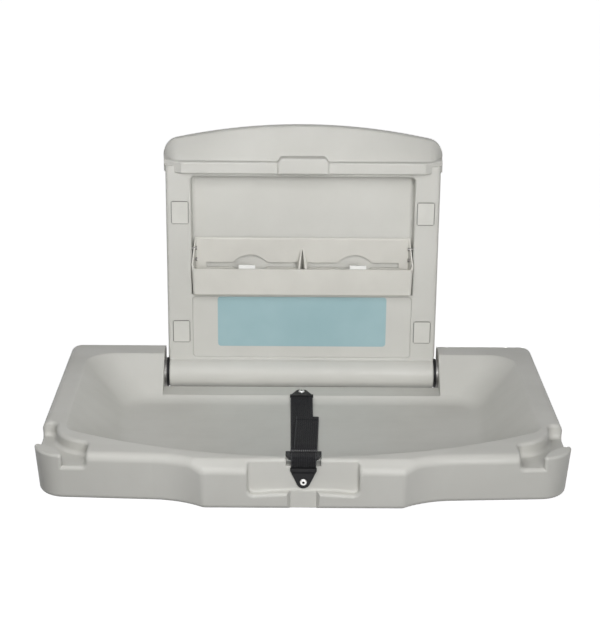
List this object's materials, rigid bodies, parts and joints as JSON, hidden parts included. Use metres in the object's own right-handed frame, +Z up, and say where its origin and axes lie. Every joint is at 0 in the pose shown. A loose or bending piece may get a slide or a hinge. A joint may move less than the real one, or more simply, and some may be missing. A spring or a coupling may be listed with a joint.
{
  "type": "baby changing station",
  "caption": "Fold-down wall-mounted baby changing station with a moulded basin bed, safety strap, liner tray, bag hooks and a damped hinge.",
  "frame": {"origin": "on the wall plane, in the middle of the four wall screws", "axes": "+X along the bed to the user's right, +Y into the wall, +Z up"},
  "size_m": [0.8664, 0.5602, 0.4985],
  "materials": {
    "shell": "fine moulded grain",
    "cover": "fine moulded grain",
    "tray": "smooth moulded",
    "clip": "smooth",
    "steel": "plain",
    "bush": "turned",
    "damper": "plain",
    "black": "moulded",
    "insert": "turned",
    "webbing": "woven"
  },
  "bodies": {
    "wall_unit": {"wall_panel": "shell", "screw_cover_upper_left": "cover", "screw_cover_upper_right": "cover", "screw_cover_lower_left": "cover", "screw_cover_lower_right": "cover", "liner_tray": "tray", "liner_clip_left": "clip", "liner_clip_right": "clip", "tray_rivets": "steel", "hinge_bush_left": "bush", "hinge_bush_right": "bush", "hinge_damper_left": "damper", "hinge_damper_right": "damper"},
    "bed": {"bed_shell": "shell", "hinge_pin_left": "steel", "hinge_pin_right": "steel", "hinge_plate_left": "steel", "hinge_plate_right": "steel", "plate_screws_left": "steel", "plate_screws_right": "steel", "anchor_screw_rear": "steel", "anchor_screw_front": "steel", "thrust_washer_left": "bush", "thrust_washer_right": "bush", "strap_anchor_rear": "black", "strap_anchor_front": "black", "anchor_insert_rear": "insert", "anchor_insert_front": "insert", "strap_long": "webbing", "strap_tail": "webbing", "strap_short": "webbing"},
    "buckle": {"buckle": "black"}
  },
  "joints": [
    {"name": "bed_fold", "type": "hinge", "parent": "wall_unit", "child": "bed", "pos_m": [0, -0.058, -0.1955], "axis": [-1, 0, 0], "range_deg": [0, 90]},
    {"name": "buckle_tilt", "type": "hinge", "parent": "bed", "child": "buckle", "pos_m": [0, -0.54655, -0.1517], "axis": [1, 0, 0], "range_deg": [0, 22]}
  ]
}
